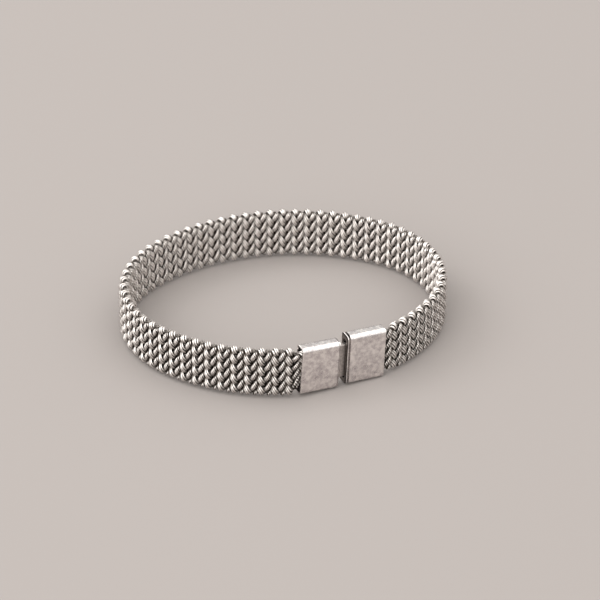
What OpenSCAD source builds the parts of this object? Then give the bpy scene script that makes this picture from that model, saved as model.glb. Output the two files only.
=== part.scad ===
// Woven steel bracelet with a two-part box clasp, standing on its lower edge.
// The ring's axis is Z. The clasp is at the front, towards -Y, with its length along X.

/* [Woven band] */
// Height of the woven band, which is its width when worn
band_height = 12; // [11.5:0.1:14]
// Thickness of the woven band through its two layers
band_thickness = 2.56; // [2.3:0.02:2.7]
// Radius of the band's rounded edges
band_edge_radius = 1.1; // [0.6:0.05:1.12]

/* [Clasp] */
// Length of the left shell round the loop
left_length = 8.75; // [7.6:0.05:8.9]
// Height of the left shell
left_height = 11.1; // [10.8:0.1:11.4]
// Length of the right shell round the loop
right_length = 8.95; // [8:0.05:9.1]
// Height of the right shell
right_height = 11.8; // [11:0.1:11.9]
// Thickness of both shells from the wrist side to the outside
shell_thickness = 3.1; // [3:0.1:3.6]
// Wall of the socket that holds the woven band
shell_wall = 0.3; // [0.25:0.05:0.4]
// Rounding along the long edges of the shells
shell_edge_radius = 1.0; // [0.4:0.05:1.1]
// Height of the tongue that joins the two shells
tongue_height = 8.0; // [3:0.1:9]
// Thickness of the tongue
tongue_thickness = 1; // [0.8:0.1:1.4]

/* [Hang of the clasp] */
// Lean of the left shell, its outer end raised, in degrees
left_roll = 3.4; // [0:0.1:4]
// Lean of the right shell, its outer end lowered, in degrees
right_roll = 2.4; // [0:0.1:2.5]

/* [Hidden] */
$fn = 96;

// The middle line of the band, seen from above, anticlockwise from the right shell
band_start = [10.35, -0.07];
start_heading = 12.3;
RADIUS = 0;
TURN = 1;
// Columns: radius of the arc in mm, turn of the arc in degrees
band_arcs = [
    [36.6, 22.1],
    [24.0, 95.8],
    [41.2, 76.1],
    [23.7, 86.6],
    [36.5, 49.3],
];
// Angle between the band's cross-sections, in degrees
section_step = 4;
// Points on each rounded corner of a cross-section
corner_points = 5;

// Centres of the shells along X and Z
left_centre = [-5.29, 6.0];
right_centre = [5.17, 6.1];

// Shell details
end_rounding = 0.2;
face_corner_radius = 0.35;
socket_depth = 4.6;
socket_corner_radius = 0.7;
rim_plate = 0.25;
groove_width = 0.45;
groove_depth = 0.5;
groove_corner_radius = 0.35;

// The band's squeezed end inside each socket
stub_thickness = 1.5;
stub_height = 9.4;
stub_corner_radius = 0.4;
stub_depth = 3.8;
stub_reach = 0.2;

// The tongue and its pockets
tongue_roll = (left_roll + right_roll) / 2;
tongue_depth = 2.3;
tongue_corner_radius = 0.3;
pocket_clearance = 0.2;
pocket_play = 0.6;
pocket_depth = 2.6;
gap_left = left_centre.x + left_length / 2;
gap_right = right_centre.x - right_length / 2;
tongue_length = gap_right - gap_left + 2 * tongue_depth;
tongue_centre = [(gap_left + gap_right) / 2, (left_centre.y + right_centre.y) / 2];

// How far each cut reaches past the surface that it opens
cut = 1;

// A pose is [x, y, heading]
function arc_centre(pose, radius) =
    [pose.x - radius * sin(pose.z), pose.y + radius * cos(pose.z)];

function on_arc(pose, radius, turn) =
    let (centre = arc_centre(pose, radius), heading = pose.z + turn)
    [centre.x + radius * sin(heading), centre.y - radius * cos(heading), heading];

function arc_start(i) =
    i == 0
        ? [band_start.x, band_start.y, start_heading]
        : on_arc(arc_start(i - 1), band_arcs[i - 1][RADIUS], band_arcs[i - 1][TURN]);

function steps_of(arc) = ceil(arc[TURN] / section_step);

// The poses of the band's full cross-sections, from the right shell to the left one
band_poses = [
    for (i = [0 : len(band_arcs) - 1])
        let (arc = band_arcs[i], pose = arc_start(i), steps = steps_of(arc))
        for (k = [0 : steps - 1])
            on_arc(pose, arc[RADIUS], arc[TURN] * k / steps),
    arc_start(len(band_arcs)),
];

// Middle of the whole bracelet, seen from above
band_xs = [for (pose = band_poses) pose.x];
band_ys = [for (pose = band_poses) pose.y];
low_x = min(band_xs) - band_thickness / 2;
high_x = max(band_xs) + band_thickness / 2;
low_y = -shell_thickness / 2;
high_y = max(band_ys) + band_thickness / 2;
middle = [(low_x + high_x) / 2, (low_y + high_y) / 2];

// Points of a rounded rectangle in [outward, up], anticlockwise
function rounded_points(width, height, radius) = [
    for (corner = [0 : 3], k = [0 : corner_points - 1])
        let (
            angle = 90 * corner + 90 * k / (corner_points - 1),
            side = corner == 0 || corner == 3 ? 1 : -1,
            level = corner < 2 ? 1 : -1
        )
        [
            side * (width / 2 - radius) + radius * cos(angle),
            level * (height / 2 - radius) + radius * sin(angle),
        ]
];

// One cross-section of the band standing at a pose, its middle at height z
function cross_section(pose, z, width, height, radius) = [
    for (p = rounded_points(width, height, radius))
        [pose.x + p.x * sin(pose.z), pose.y - p.x * cos(pose.z), z + p.y]
];

// A cross-section of the squeezed end, a distance along the shell's axis from its centre
function stub_section(centre, roll, along) =
    cross_section(
        [centre.x + along * cos(roll), 0, 0],
        centre.y - along * sin(roll),
        stub_thickness,
        stub_height,
        stub_corner_radius
    );

band_sections = [
    stub_section(right_centre, right_roll, right_length / 2 - stub_depth),
    stub_section(right_centre, right_roll, right_length / 2 + stub_reach),
    for (pose = band_poses)
        cross_section(
            pose, band_height / 2, band_thickness, band_height, band_edge_radius
        ),
    stub_section(left_centre, left_roll, -left_length / 2 - stub_reach),
    stub_section(left_centre, left_roll, -left_length / 2 + stub_depth),
];

// Faces that join the sections into a closed skin
function skin_faces(count, around) = [
    for (i = [0 : count - 2], k = [0 : around - 1])
        let (
            a = i * around + k,
            b = i * around + (k + 1) % around,
            c = a + around,
            d = b + around
        )
        each [[a, d, b], [a, c, d]],
    [for (k = [0 : around - 1]) k],
    [for (k = [around - 1 : -1 : 0]) (count - 1) * around + k],
];

module rounded_rectangle(width, height, radius) {
    square([width - 2 * radius, height], center = true);
    square([width, height - 2 * radius], center = true);
    for (sx = [-1, 1], sy = [-1, 1])
        translate([sx * (width / 2 - radius), sy * (height / 2 - radius)])
            circle(r = radius);
}

// A bar along X with a rounded section, given as thickness along Y and height along Z
module bar(length, thickness, height, radius) {
    rotate([90, 0, 90])
        linear_extrude(length, center = true)
            rounded_rectangle(thickness, height, radius);
}

// Puts a clasp piece at its place along X and Z, with its lean
module at_clasp(centre, roll) {
    translate([centre.x, 0, centre.y])
        rotate([0, roll, 0])
            children();
}

// A box with rounded long edges and slightly rounded ends
module shell_block(length, height) {
    intersection() {
        bar(length, shell_thickness, height, shell_edge_radius);
        linear_extrude(height + cut, center = true)
            rounded_rectangle(length, shell_thickness, end_rounding);
        rotate([90, 0, 0])
            linear_extrude(shell_thickness + cut, center = true)
                rounded_rectangle(length, height, face_corner_radius);
    }
}

// The socket for the band at the outer end, side is 1 for the right and -1 for the left
module socket(length, height, side) {
    translate([side * (length / 2 - socket_depth / 2 + cut / 2), 0, 0])
        bar(
            socket_depth + cut,
            shell_thickness - 2 * shell_wall,
            height - 2 * shell_wall,
            socket_corner_radius
        );
}

// The pocket for the tongue at the inner end
module tongue_pocket(length, side) {
    translate([-side * (length / 2 - pocket_depth / 2 + cut / 2), 0, 0])
        bar(
            pocket_depth + cut,
            tongue_thickness + 2 * pocket_clearance,
            tongue_height + 2 * pocket_play,
            tongue_corner_radius
        );
}

// The narrow groove round the inner end of the right shell, behind its rim plate
module rim_groove(length, height) {
    translate([-length / 2 + rim_plate + groove_width / 2, 0, 0])
        difference() {
            bar(groove_width, shell_thickness + cut, height + cut, groove_corner_radius);
            bar(
                groove_width + cut,
                shell_thickness - 2 * groove_depth,
                height - 2 * groove_depth,
                groove_corner_radius
            );
        }
}

module woven_band() {
    color([0.60, 0.59, 0.57])
        translate([-middle.x, -middle.y, 0])
            polyhedron(
                points = [for (section = band_sections) each section],
                faces = skin_faces(len(band_sections), 4 * corner_points),
                convexity = 4
            );
}

module clasp_left_shell() {
    color([0.80, 0.79, 0.78])
        translate([-middle.x, -middle.y, 0])
            at_clasp(left_centre, left_roll)
                difference() {
                    shell_block(left_length, left_height);
                    socket(left_length, left_height, -1);
                    tongue_pocket(left_length, -1);
                }
}

module clasp_right_shell() {
    color([0.80, 0.79, 0.78])
        translate([-middle.x, -middle.y, 0])
            at_clasp(right_centre, right_roll)
                difference() {
                    shell_block(right_length, right_height);
                    socket(right_length, right_height, 1);
                    tongue_pocket(right_length, 1);
                    rim_groove(right_length, right_height);
                }
}

module clasp_tongue() {
    color([0.35, 0.34, 0.33])
        translate([-middle.x, -middle.y, 0])
            at_clasp(tongue_centre, tongue_roll)
                bar(tongue_length, tongue_thickness, tongue_height, tongue_corner_radius);
}

woven_band();
clasp_left_shell();
clasp_right_shell();
clasp_tongue();
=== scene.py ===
"""Woven steel bracelet with a two-part box clasp, standing on its lower edge on a pale floor.

The clasp's shells and tongue are the CAD nodes with their finishes. The band's wires replace the
plain band: a flattened tube, braided two over and two under from nine strands each way. Falling
strands are flat ribbons of three wires and rising strands are tight ropes of three wires. The
braid is worked out in millimetres and turned to metres as it is made.
"""

import math

import bpy
import numpy as np
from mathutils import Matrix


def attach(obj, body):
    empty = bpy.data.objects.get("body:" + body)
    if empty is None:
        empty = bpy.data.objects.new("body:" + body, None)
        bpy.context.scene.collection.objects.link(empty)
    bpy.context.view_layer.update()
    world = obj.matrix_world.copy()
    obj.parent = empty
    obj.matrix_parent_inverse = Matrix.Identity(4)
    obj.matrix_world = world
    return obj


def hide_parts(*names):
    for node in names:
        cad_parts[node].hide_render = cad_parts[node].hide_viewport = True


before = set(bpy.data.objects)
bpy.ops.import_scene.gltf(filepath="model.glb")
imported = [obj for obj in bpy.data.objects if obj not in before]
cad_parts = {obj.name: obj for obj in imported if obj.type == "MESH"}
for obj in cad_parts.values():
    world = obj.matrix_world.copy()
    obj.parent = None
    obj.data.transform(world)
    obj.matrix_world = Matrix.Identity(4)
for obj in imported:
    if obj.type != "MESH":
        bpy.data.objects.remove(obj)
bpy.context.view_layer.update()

MM = 0.001

# The band's middle line from above, from the right shell round to the left one, as in the CAD
BAND_START = (10.35, -0.07)
START_HEADING = 12.3
# Radius of the arc, turn of the arc in degrees
BAND_ARCS = [
    (36.6, 22.1),
    (24.0, 95.8),
    (41.2, 76.1),
    (23.7, 86.6),
    (36.5, 49.3),
]
BRACELET_MIDDLE = (-0.623, 27.560)
BAND_HEIGHT = 12.0
BAND_THICKNESS = 2.56

# Centres of the shells along the clasp and upwards, and their lean in degrees, as in the CAD
LEFT_CENTRE = (-5.29, 6.0)
RIGHT_CENTRE = (5.17, 6.1)
LEFT_ROLL = 3.4
RIGHT_ROLL = 2.4

# Where the mouths of the shells lie along the clasp
RIGHT_MOUTH = 9.64
LEFT_MOUTH = -9.66
# The band's height, thickness and middle height, in full and inside each shell
FULL_BAND = (BAND_HEIGHT, BAND_THICKNESS, BAND_HEIGHT / 2)
RIGHT_END = (10.6, 2.1, 5.91)
LEFT_END = (8.6, 2.1, 6.4)
# How far the wires run into the shells, and how far from the mouths the band is full height again
HIDDEN_END = 1.2
RIGHT_TAPER = 3.5
LEFT_TAPER = 2.0
# Distance between the points of the middle line, and the length over which its arcs blend
PATH_STEP = 0.05
PATH_BLEND = 1.6

# The braid. A column pair is one wave of a strand along the band, and a row is one stitch high.
STRANDS_EACH_WAY = 9
COLUMN_PAIR = 2.838
COLUMN_SHIFT = 0.97
ROWS_A_WAVE = 2
OUTER_ROW = 2.46
INNER_ROW = 2.69
ROW_PITCH = (OUTER_ROW + INNER_ROW) / 2
LEAN = math.atan(ROWS_A_WAVE * ROW_PITCH / COLUMN_PAIR)
# How deep the middle of the tube's wall lies under the band's outside
WALL_DEPTH = 0.59
# Points round a quarter of the tube, and points that each row of its wall is then measured at
CORNER_STEPS = 24
ROW_STEPS = 100

# How each family of strands lies, in mm. Anticlockwise from above, a falling strand runs down the
# outer face and a rising one up it.
# turn: which way round the tube, wave_start: start of its wave in radians
# crest and trough: how far out of the wall's middle it lies where it shows and where it dives
# first_row: row of its first strand, wires: wires to a strand, radius: of a wire
# step: between a wire's rings, edge_dip: how much lower it turns over the band's edges
# edge_shade: how much deeper the painted shade goes there
FALLING = dict(
    turn=1,
    wave_start=0.0,
    crest=0.37,
    trough=-0.56,
    first_row=1.091,
    wires=3,
    radius=0.21,
    step=0.16,
    edge_dip=0.0,
    edge_shade=0.0,
)
RISING = dict(
    turn=-1,
    wave_start=math.pi,
    crest=0.15,
    trough=-0.46,
    first_row=0.591,
    wires=3,
    radius=0.19,
    step=0.1,
    edge_dip=0.42,
    edge_shade=0.6,
)
# Flat sides round a wire, and the power that makes its wave quick to dive
WIRE_SIDES = 5
WAVE_SHARPNESS = 2.3
# A falling strand is a flat ribbon: the spread of its wires where it shows and where it dives
SHOWN_SPREAD = 0.42
DIVING_SPREAD = 0.22
RIBBON_ARCH = 0.13
# A rising strand is a tight rope: half its width and thickness where it shows, the share of them
# that is left where it dives, and its turns a wave
ROPE_HALF_WIDTH = 0.35
ROPE_HALF_THICKNESS = 0.24
ROPE_SQUEEZE = 0.6
ROPE_TWIST = 4
# Unevenness of each wire, in mm, how far apart along the band it changes, and the seed of the
# first wire of each family
UNEVEN = 0.03
UNEVEN_LENGTH = 2.2
FIRST_SEED = 30

# How low in the weave a wire is darkest with painted shade and from where it is free of it
DARKEST_SHADE_LIFT = -0.33
SHADE_FREE_LIFT = 0.12
# Painted shade between the wires of a strand: how far up a wire's side it starts to thin and
# ends, as the sine of the angle, and how much of the wire's colour the groove keeps at its darkest
GROOVE_LOW = 0.15
GROOVE_HIGH = 0.65
GROOVE_UNSHADED_SHARE = 0.47
# On the inner face the painted shade is lighter low in the weave and between the wires of a
# strand, and the wrist rubs the polish duller
INNER_LIGHTER_LOW = 0.3
INNER_LIGHTER_BETWEEN = 0.7
RUBBED_DULLER = 0.18

# The part of the noise's range over which the polish and the smudges change
POLISH_RANGE = (0.3, 0.7)
SMUDGE_RANGE = (0.35, 0.65)
# Depth of the relief in a satin surface, in mm
RELIEF_DEPTH = 0.02

# Dark marks at the inner ends of the shells: colour, then where the mark starts and is full along
# each axis that bounds it, in mm from the shell's middle
# painted shade at the right shell's inner end, facing the gap between the shells
RIGHT_SHELL_PAINTED_SHADE = [
    # the end face, darkened with painted shade
    ("#6E6663", [("X", -4.38, -4.44)]),
    # its front and top edges, with a painted dark shadow
    ("#1E1A19", [("X", -4.38, -4.44), ("Y", -1.1, -1.4)]),
    ("#1E1A19", [("X", -4.38, -4.44), ("Z", 5.2, 5.6)]),
    # the shadow in the groove behind the rim plate
    ("#2A2523", [("X", -3.7, -3.8), ("X", -4.25, -4.2), ("Y", -1.2, -0.9)]),
]
LEFT_SHELL_MARKS = [
    # a fine seam
    ("#6A6361", [("X", 3.98, 4.04), ("X", 4.16, 4.1)]),
]

# Inputs and output of a colour Mix node
MIX_SHARE = 0
MIX_FIRST = 6
MIX_SECOND = 7
MIX_RESULT = 2

# The camera's aim in mm and its place, at the photograph's angle. Its lens was fitted as a focal
# length in pixels of the photograph, which is 600 wide.
AIM = (-0.15, -0.45, 6.0)
CAMERA_AZIMUTH = math.radians(-24.5)
CAMERA_ELEVATION = math.radians(32.0)
CAMERA_DISTANCE = 0.5642
PHOTO_WIDTH = 600
FOCAL_PIXELS = 2600
SENSOR_WIDTH = 36
CAMERA_SHIFT = (0.02745, -0.0027)
NEAREST_SEEN = 0.02
FARTHEST_SEEN = 20

FLOOR_SIZE = 6
# How bright the studio is in each direction: axis, where the change starts and ends, the strength
# at each end, and how it passes between them
STUDIO_GLOW = {
    # dim at the horizon
    "rise": ("Z", 0.0, 0.35, 0.42, 1.15, "SMOOTHSTEP"),
    # brighter at the left
    "lean": ("X", -1.0, 1.0, 1.9, 0.98, "LINEAR"),
    # dimmer behind the bracelet
    "far": ("Y", 0.0, 0.85, 1.0, 0.5, "LINEAR"),
    # a pool of light overhead
    "overhead": ("Z", 0.66, 0.86, 0.0, 0.8, "SMOOTHSTEP"),
}
STUDIO_WHITE = "#FFFDFA"
# Soft boxes: place and size in metres, and power in watts
SOFT_BOXES = {
    "key": ((-0.6, 0.5, 0.7), (0.5, 0.5), 2.8),
    "side": ((-0.7, -0.6, 0.55), (0.6, 0.6), 1.8),
}


def linear(hex_colour):
    """An sRGB hex colour as linear RGBA."""
    values = [int(hex_colour[i : i + 2], 16) / 255 for i in (1, 3, 5)]
    return (*[v / 12.92 if v <= 0.04045 else ((v + 0.055) / 1.055) ** 2.4 for v in values], 1)


def add_node(tree, kind, settings=None, links=None):
    """Adds a shader node with its settings, by property or input, and its input links."""
    made = tree.nodes.new(kind)
    for name, value in (settings or {}).items():
        if isinstance(name, int) or name in made.inputs:
            made.inputs[name].default_value = value
        else:
            setattr(made, name, value)
    for name, source in (links or {}).items():
        tree.links.new(source, made.inputs[name])
    return made


def smoothstep(values):
    """0 to 1 with level ends."""
    t = np.clip(values, 0, 1)
    return t * t * (3 - 2 * t)


def unit(vectors):
    """The vectors at length 1."""
    return vectors / np.linalg.norm(vectors, axis=1)[:, None]


def band_line():
    """The band's middle line from above: distance along it, x, y and heading, from end to end."""
    # from inside the right shell to the first arc
    xs = [RIGHT_MOUTH - HIDDEN_END]
    ys = [0.0]
    start_x, start_y = BAND_START
    while xs[-1] < start_x - PATH_STEP:
        xs.append(xs[-1] + PATH_STEP)
        ys.append(start_y * smoothstep((xs[-1] - RIGHT_MOUTH) / (start_x - RIGHT_MOUTH)))
    # round the loop
    x, y, heading = start_x, start_y, math.radians(START_HEADING)
    for radius, turn in BAND_ARCS:
        steps = round(math.radians(turn) * radius / PATH_STEP)
        bend = math.radians(turn) / steps
        for _ in range(steps):
            xs.append(x)
            ys.append(y)
            chord = 2 * radius * math.sin(bend / 2)
            x += chord * math.cos(heading + bend / 2)
            y += chord * math.sin(heading + bend / 2)
            heading += bend
    # from the last arc to inside the left shell
    last_x, last_y = x, y
    while x < LEFT_MOUTH + HIDDEN_END:
        xs.append(x)
        ys.append(last_y * (1 - smoothstep((x - last_x) / (LEFT_MOUTH - last_x))))
        x += PATH_STEP
    xs, ys = np.array(xs), np.array(ys)
    # blend the arcs into each other, with an odd number of points
    window = round(PATH_BLEND / PATH_STEP) | 1
    weights = np.hanning(window + 2)[1:-1]
    weights /= weights.sum()
    for values in (xs, ys):
        padded = np.pad(values, window // 2, mode="reflect", reflect_type="odd")
        values[:] = np.convolve(padded, weights, mode="valid")
    along = np.concatenate([[0], np.cumsum(np.hypot(np.diff(xs), np.diff(ys)))])
    heading = np.unwrap(np.arctan2(np.gradient(ys), np.gradient(xs)))
    return along, xs, ys, heading


ALONG, LINE_X, LINE_Y, LINE_HEADING = band_line()
BAND_LENGTH = ALONG[-1]


def wall_line():
    """The middle of the flattened tube's wall, row by row: row, outward, up and its normal.

    It starts at the top and goes down the outer face, under the band and up the inner face.
    """
    half_thick = BAND_THICKNESS / 2 - WALL_DEPTH
    half_straight = BAND_HEIGHT / 2 - WALL_DEPTH - half_thick
    ring = []
    for quarter in range(4):
        for k in range(CORNER_STEPS):
            angle = math.pi / 2 - math.pi / 2 * (quarter + k / CORNER_STEPS)
            middle = half_straight if math.sin(angle) > 0 else -half_straight
            ring.append((half_thick * math.cos(angle), half_thick * math.sin(angle) + middle))
    ring = np.array(ring + ring[:1])
    steps = np.hypot(*np.diff(ring, axis=0).T)
    middles = (ring[1:, 0] + ring[:-1, 0]) / 2
    # each flat face has rows of its own pitch, and the two edges share the rows that are left
    flat = steps > half_straight
    rows = np.where(flat, steps / np.where(middles > 0, OUTER_ROW, INNER_ROW), 0)
    rows += np.where(flat, 0, steps * (STRANDS_EACH_WAY - rows.sum()) / steps[~flat].sum())
    count = np.concatenate([[0], np.cumsum(rows)])
    row = np.linspace(0, STRANDS_EACH_WAY, STRANDS_EACH_WAY * ROW_STEPS + 1)
    outward, up = np.interp(row, count, ring[:, 0]), np.interp(row, count, ring[:, 1])
    centre_up = np.clip(up, -half_straight, half_straight)
    normal = unit(np.column_stack([outward, up - centre_up]))
    return row, outward, up, normal[:, 0], normal[:, 1]


ROWS, WALL_OUT, WALL_UP, NORMAL_OUT, NORMAL_UP = wall_line()


def band_section(along):
    """Height, thickness and middle height of the band at each distance along it."""
    in_right = 1 - smoothstep((along - HIDDEN_END) / RIGHT_TAPER)
    in_left = 1 - smoothstep((BAND_LENGTH - HIDDEN_END - along) / LEFT_TAPER)
    return [
        full + (right - full) * in_right + (left - full) * in_left
        for full, right, left in zip(FULL_BAND, RIGHT_END, LEFT_END)
    ]


def ribbon_place(phase, wire, wires):
    """Places of a wire across a flat arched strand: sideways, outward, and the way it faces."""
    shows = (1 + np.cos(phase)) / 2
    offset = wire - (wires - 1) / 2
    spread = DIVING_SPREAD + (SHOWN_SPREAD - DIVING_SPREAD) * shows
    return offset * spread, -RIBBON_ARCH * offset**2, np.arctan2(2 * RIBBON_ARCH * offset, spread)


def rope_place(phase, wire, wires):
    """Places of a wire in a twisted strand: sideways, outward, and the way it faces."""
    angle = 2 * math.pi * wire / wires + ROPE_TWIST * phase
    facing = np.arctan2(np.cos(angle) / ROPE_HALF_WIDTH, np.sin(angle) / ROPE_HALF_THICKNESS)
    size = ROPE_SQUEEZE + (1 - ROPE_SQUEEZE) * (1 + np.cos(phase)) / 2
    sideways = size * ROPE_HALF_WIDTH * np.cos(angle)
    outward = size * ROPE_HALF_THICKNESS * np.sin(angle)
    return sideways, outward, facing


def uneven(chance, along):
    """A small smooth unevenness along a wire."""
    knots = np.arange(0, BAND_LENGTH + 2 * UNEVEN_LENGTH, UNEVEN_LENGTH)
    values = chance.uniform(-UNEVEN, UNEVEN, len(knots))
    place = along / UNEVEN_LENGTH
    before = place.astype(int)
    return values[before] + (values[before + 1] - values[before]) * smoothstep(place - before)


def wire_path(family, strand, wire, chance):
    """One wire of a strand: its points, the way its top faces, its painted shade and how far
    inside.
    """
    turn = family["turn"]
    along = np.arange(0, BAND_LENGTH, family["step"])
    phase = 2 * math.pi * (along - COLUMN_SHIFT) / COLUMN_PAIR + family["wave_start"]
    strand_place = ribbon_place if family is FALLING else rope_place
    side, out, facing = strand_place(phase, wire, family["wires"])
    side = side + uneven(chance, along)
    # the ends of a stitch lie on the slant of the strands that cross it
    slant = math.sin(LEAN) - 0.5 / math.sin(LEAN)
    shown = (1 + np.cos(phase - turn * slant * side * 2 * math.pi / COLUMN_PAIR)) / 2
    lift = family["trough"] + (family["crest"] - family["trough"]) * shown**WAVE_SHARPNESS
    # the strand climbs round the tube's wall as it goes along
    row = strand + family["first_row"] + turn * ROWS_A_WAVE * (along - COLUMN_SHIFT) / COLUMN_PAIR
    row = (row + side * math.cos(LEAN) / ROW_PITCH) % STRANDS_EACH_WAY
    along = np.clip(along - turn * side * math.sin(LEAN), 0, BAND_LENGTH)
    wall_out, wall_up, normal_out, normal_up = (
        np.interp(row, ROWS, values) for values in (WALL_OUT, WALL_UP, NORMAL_OUT, NORMAL_UP)
    )
    at_edge = normal_up**2
    lift = lift + out + uneven(chance, along) - family["edge_dip"] * at_edge
    # from the wall to the bent band
    height, thickness, middle = band_section(along)
    outward = (wall_out + lift * normal_out) * (thickness / BAND_THICKNESS)
    up = (wall_up + lift * normal_up) * (height / BAND_HEIGHT) + middle
    x, y, heading = (np.interp(along, ALONG, line) for line in (LINE_X, LINE_Y, LINE_HEADING))
    points = np.column_stack([
        x + outward * np.sin(heading) - BRACELET_MIDDLE[0],
        y - outward * np.cos(heading) - BRACELET_MIDDLE[1],
        up,
    ])
    # the wire's top turns with the wall and with its place in the strand
    forward = np.column_stack([np.cos(heading), np.sin(heading), np.zeros_like(heading)])
    wall_normal = np.column_stack([
        normal_out * np.sin(heading),
        -normal_out * np.cos(heading),
        normal_up,
    ])
    across = np.cross(forward, wall_normal)
    sideways = -turn * math.sin(LEAN) * forward + math.cos(LEAN) * across
    tops = np.cos(facing)[:, None] * wall_normal + np.sin(facing)[:, None] * sideways
    # painted shade: the wire's colour darkens low in the weave and, for rising strands, over the
    # band's edges
    shade_depth = lift - family["edge_shade"] * at_edge - DARKEST_SHADE_LIFT
    unshaded = smoothstep(shade_depth / (SHADE_FREE_LIFT - DARKEST_SHADE_LIFT))
    # on the inner face the painted shade low in the weave is made lighter
    inside = (1 - normal_out) / 2
    return points * MM, tops, unshaded + (1 - unshaded) * INNER_LIGHTER_LOW * inside, inside


def make_wires(name, family, wire, seed):
    """One wire of every strand of a family, as closed tubes in one mesh.

    The mesh carries what the wire's finish reads at each point: how free of painted shade the wire
    is, how far up its side the point is, and how far round to the inner face.
    """
    chance = np.random.default_rng(seed)
    corner = np.arange(WIRE_SIDES)
    after = (corner + 1) % WIRE_SIDES
    angles = math.pi / 2 + 2 * math.pi * corner / WIRE_SIDES
    vertices, faces = [], []
    wire_attributes = {"unshaded": [], "ridge": [], "inside": []}
    for strand in range(STRANDS_EACH_WAY):
        points, tops, unshaded, inside = wire_path(family, strand, wire, chance)
        forward = unit(np.gradient(points, axis=0))
        side = unit(np.cross(forward, tops))
        up = np.cross(side, forward)
        spokes = np.cos(angles)[:, None] * side[:, None] + np.sin(angles)[:, None] * up[:, None]
        vertices.append((points[:, None] + family["radius"] * MM * spokes).reshape(-1, 3))
        first = strand * len(points) * WIRE_SIDES
        ring = first + WIRE_SIDES * np.arange(len(points) - 1)[:, None]
        onward = ring + WIRE_SIDES
        sides = [ring + corner, onward + corner, onward + after, ring + after]
        faces += np.stack(sides, axis=-1).reshape(-1, 4).tolist()
        faces += [(first + corner).tolist(), (onward[-1] + corner[::-1]).tolist()]
        # the painted shade between the wires is made lighter on the inner face
        inner_lightening = (1 - np.sin(angles)) * INNER_LIGHTER_BETWEEN * inside[:, None]
        wire_attributes["unshaded"].append(np.repeat(unshaded, WIRE_SIDES))
        wire_attributes["ridge"].append((np.sin(angles) + inner_lightening).ravel())
        wire_attributes["inside"].append(np.repeat(inside, WIRE_SIDES))
    mesh = bpy.data.meshes.new(name)
    mesh.from_pydata(np.concatenate(vertices), [], faces)
    mesh.shade_smooth()
    for label, values in wire_attributes.items():
        attribute = mesh.attributes.new(label, "FLOAT", "POINT")
        attribute.data.foreach_set("value", np.concatenate(values).astype(np.float32))
    piece = bpy.data.objects.new(name, mesh)
    bpy.context.scene.collection.objects.link(piece)
    return piece


def steel(
    name, colour, smudge_colour, roughness, spread, patch_size, relief=0.0, painted_shade_colour=None
):
    """Bare stainless steel whose colour and polish vary in patches, with their size in mm.

    A painted shade colour is for the band's wires, whose meshes say where the painted shade lies.
    """
    material = bpy.data.materials.new(name)
    material.use_nodes = True
    tree = material.node_tree
    shader = tree.nodes["Principled BSDF"]
    shader.inputs["Metallic"].default_value = 1.0
    place = add_node(tree, "ShaderNodeTexCoord")
    patches = add_node(
        tree,
        "ShaderNodeTexNoise",
        {"Scale": 1 / (patch_size * MM), "Detail": 3.0, "Roughness": 0.5},
        {"Vector": place.outputs["Object"]},
    )
    polish = add_node(
        tree,
        "ShaderNodeMapRange",
        {
            "From Min": POLISH_RANGE[0],
            "From Max": POLISH_RANGE[1],
            "To Min": roughness - spread,
            "To Max": roughness + spread,
        },
        {"Value": patches.outputs["Fac"]},
    )
    dullness = polish.outputs["Result"]
    smudged = add_node(
        tree,
        "ShaderNodeMapRange",
        {"From Min": SMUDGE_RANGE[0], "From Max": SMUDGE_RANGE[1]},
        {"Value": patches.outputs["Fac"]},
    )
    surface = add_node(
        tree,
        "ShaderNodeMix",
        {"data_type": "RGBA", MIX_FIRST: linear(colour), MIX_SECOND: linear(smudge_colour)},
        {MIX_SHARE: smudged.outputs["Result"]},
    ).outputs[MIX_RESULT]
    if painted_shade_colour:
        # painted shade: the wire's colour darkens low in the weave, at the band's edges and
        # between its wires
        unshaded, ridge, inside = (
            add_node(tree, "ShaderNodeAttribute", {"attribute_name": label}).outputs["Fac"]
            for label in ("unshaded", "ridge", "inside")
        )
        dullness = add_node(
            tree,
            "ShaderNodeMath",
            {"operation": "MULTIPLY_ADD", 1: RUBBED_DULLER},
            {0: inside, 2: dullness},
        ).outputs["Value"]
        top = add_node(
            tree,
            "ShaderNodeMapRange",
            # painted shade in the grooves between the wires of a strand
            {"From Min": GROOVE_LOW, "From Max": GROOVE_HIGH, "To Min": GROOVE_UNSHADED_SHARE},
            {"Value": ridge},
        )
        shade_free_share = add_node(
            tree, "ShaderNodeMath", {"operation": "MULTIPLY"}, {0: unshaded, 1: top.outputs["Result"]}
        )
        surface = add_node(
            tree,
            "ShaderNodeMix",
            {"data_type": "RGBA", MIX_FIRST: linear(painted_shade_colour)},
            {MIX_SHARE: shade_free_share.outputs["Value"], MIX_SECOND: surface},
        ).outputs[MIX_RESULT]
    tree.links.new(dullness, shader.inputs["Roughness"])
    tree.links.new(surface, shader.inputs["Base Color"])
    if relief:
        rough = add_node(
            tree,
            "ShaderNodeBump",
            {"Strength": relief, "Distance": RELIEF_DEPTH * MM},
            {"Height": patches.outputs["Fac"]},
        )
        tree.links.new(rough.outputs["Normal"], shader.inputs["Normal"])
    return material


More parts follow.
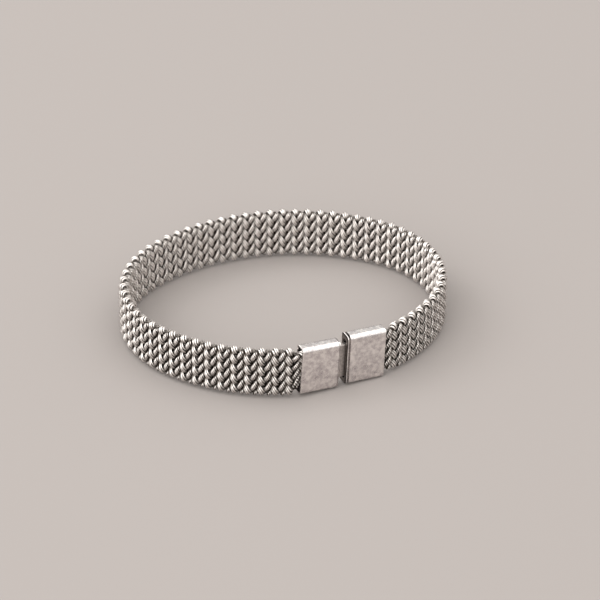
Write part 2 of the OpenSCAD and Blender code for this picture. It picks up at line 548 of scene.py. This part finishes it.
def mark_shell(material, centre, roll, marks):
    """Adds the dark marks of a table to a shell's finish, in the shell's own leaning axes."""
    tree = material.node_tree
    base = tree.nodes["Principled BSDF"].inputs["Base Color"]
    surface = base.links[0].from_socket
    middle = (centre[0] - BRACELET_MIDDLE[0], -BRACELET_MIDDLE[1], centre[1])
    place = add_node(tree, "ShaderNodeTexCoord")
    on_shell = add_node(
        tree,
        "ShaderNodeMapping",
        {
            "vector_type": "TEXTURE",
            "Location": [v * MM for v in middle],
            "Rotation": (0, math.radians(roll), 0),
        },
        {"Vector": place.outputs["Object"]},
    )
    axes = add_node(tree, "ShaderNodeSeparateXYZ", {}, {"Vector": on_shell.outputs["Vector"]})
    for colour, limits in marks:
        ramps = [
            add_node(
                tree,
                "ShaderNodeMapRange",
                {"From Min": start * MM, "From Max": full * MM},
                {"Value": axes.outputs[axis]},
            ).outputs["Result"]
            for axis, start, full in limits
        ]
        share = ramps[0]
        for ramp in ramps[1:]:
            share = add_node(
                tree, "ShaderNodeMath", {"operation": "MULTIPLY"}, {0: share, 1: ramp}
            ).outputs["Value"]
        surface = add_node(
            tree,
            "ShaderNodeMix",
            {"data_type": "RGBA", MIX_SECOND: linear(colour)},
            {MIX_SHARE: share, MIX_FIRST: surface},
        ).outputs[MIX_RESULT]
    tree.links.new(surface, base)


def place_camera():
    """The camera, looking down at the bracelet from the front and a little from the left."""
    data = bpy.data.cameras.new("camera")
    data.sensor_width = SENSOR_WIDTH
    data.lens = SENSOR_WIDTH * FOCAL_PIXELS / PHOTO_WIDTH
    data.shift_x, data.shift_y = CAMERA_SHIFT
    data.clip_start, data.clip_end = NEAREST_SEEN, FARTHEST_SEEN
    camera = bpy.data.objects.new("camera", data)
    level = CAMERA_DISTANCE * math.cos(CAMERA_ELEVATION)
    camera.location = (
        AIM[0] * MM + level * math.sin(CAMERA_AZIMUTH),
        AIM[1] * MM - level * math.cos(CAMERA_AZIMUTH),
        AIM[2] * MM + CAMERA_DISTANCE * math.sin(CAMERA_ELEVATION),
    )
    camera.rotation_euler = (math.pi / 2 - CAMERA_ELEVATION, 0, CAMERA_AZIMUTH)
    bpy.context.scene.collection.objects.link(camera)
    bpy.context.scene.camera = camera


def lay_floor():
    """A plain floor under the bracelet."""
    bpy.ops.object.select_all(action="DESELECT")
    bpy.ops.mesh.primitive_plane_add(size=FLOOR_SIZE, location=(0, 0, 0))
    floor = bpy.context.active_object
    floor.name = "floor"
    # Plaster, floated flat: a pale matt ground without a reflection
    plaster = bpy.data.materials.new("pale_floated_plaster")
    plaster.use_nodes = True
    shader = plaster.node_tree.nodes["Principled BSDF"]
    shader.inputs["Base Color"].default_value = linear("#908A87")
    shader.inputs["Roughness"].default_value = 0.9
    floor.data.materials.append(plaster)


def light_studio():
    """The studio's soft glow all round, and the soft boxes aimed at the bracelet."""
    world = bpy.data.worlds.new("studio")
    bpy.context.scene.world = world
    world.use_nodes = True
    tree = world.node_tree
    direction = add_node(tree, "ShaderNodeTexCoord")
    axes = add_node(
        tree, "ShaderNodeSeparateXYZ", {}, {"Vector": direction.outputs["Generated"]}
    )
    glow = {
        name: add_node(
            tree,
            "ShaderNodeMapRange",
            {
                "interpolation_type": passing,
                "From Min": start,
                "From Max": end,
                "To Min": strength_at_start,
                "To Max": strength_at_end,
            },
            {"Value": axes.outputs[axis]},
        ).outputs["Result"]
        for name, (axis, start, end, strength_at_start, strength_at_end, passing)
        in STUDIO_GLOW.items()
    }
    round_about = add_node(
        tree, "ShaderNodeMath", {"operation": "MULTIPLY"}, {0: glow["lean"], 1: glow["far"]}
    )
    risen = add_node(
        tree,
        "ShaderNodeMath",
        {"operation": "MULTIPLY"},
        {0: glow["rise"], 1: round_about.outputs["Value"]},
    )
    total = add_node(
        tree,
        "ShaderNodeMath",
        {"operation": "ADD"},
        {0: risen.outputs["Value"], 1: glow["overhead"]},
    )
    background = tree.nodes["Background"]
    background.inputs["Color"].default_value = linear(STUDIO_WHITE)
    tree.links.new(total.outputs["Value"], background.inputs["Strength"])
    for name, (place, size, power) in SOFT_BOXES.items():
        light = bpy.data.lights.new(name, "AREA")
        light.shape = "RECTANGLE"
        light.size, light.size_y = size
        light.energy = power
        lamp = bpy.data.objects.new(name, light)
        lamp.location = place
        x, y, z = place
        lamp.rotation_euler = (math.atan2(math.hypot(x, y), z), 0, math.atan2(x, -y))
        bpy.context.scene.collection.objects.link(lamp)


place_camera()
lay_floor()
light_studio()

# Stainless steel wire, drawn through dies: smooth and bright along each wire, a little soft where
# worn, with brown-grey painted shade low in the weave and in the grooves between the wires. Its
# smears are about 0.2 mm wide and are drawn as 0.8 mm so that they show.
drawn_wire = steel(
    "drawn_stainless_wire",
    colour="#F0EBE7",
    smudge_colour="#E0DAD6",
    roughness=0.31,
    spread=0.05,
    patch_size=0.8,
    painted_shade_colour="#463D35",
)
# Stainless steel sheet, folded to a box and polished on a wheel: broad clear reflections,
# broken up by fine scuffs and finger smudges about 0.9 mm across
left_polish = steel(
    "polished_stainless_left_shell",
    colour="#F6F1EE",
    smudge_colour="#CBC4C4",
    roughness=0.22,
    spread=0.06,
    patch_size=0.9,
)
right_polish = steel(
    "polished_stainless_right_shell",
    colour="#F8F3F0",
    smudge_colour="#CEC8C8",
    roughness=0.22,
    spread=0.06,
    patch_size=0.9,
)
mark_shell(right_polish, RIGHT_CENTRE, RIGHT_ROLL, RIGHT_SHELL_PAINTED_SHADE)
mark_shell(left_polish, LEFT_CENTRE, LEFT_ROLL, LEFT_SHELL_MARKS)
# Stainless steel sheet, stamped and left unpolished: an even satin grey. The grain of the rolled
# sheet is about 0.05 mm and is drawn as 0.5 mm so that it shows.
stamped_tongue = steel(
    "stamped_stainless_tongue",
    colour="#C6BFBB",
    smudge_colour="#ABA5A1",
    roughness=0.4,
    spread=0.05,
    patch_size=0.5,
    relief=0.1,
)

for label, family in (("rising", RISING), ("falling", FALLING)):
    for wire in range(family["wires"]):
        piece = make_wires(f"{label}_wires_{wire + 1}", family, wire, FIRST_SEED + wire)
        piece.data.materials.append(drawn_wire)
        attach(piece, "root")
        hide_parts("woven_band")

for name, finish in (
    ("clasp_left_shell", left_polish),
    ("clasp_right_shell", right_polish),
    ("clasp_tongue", stamped_tongue),
):
    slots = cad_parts[name].data.materials
    slots.clear()
    slots.append(finish)

bpy.context.scene.view_settings.view_transform = "Standard"
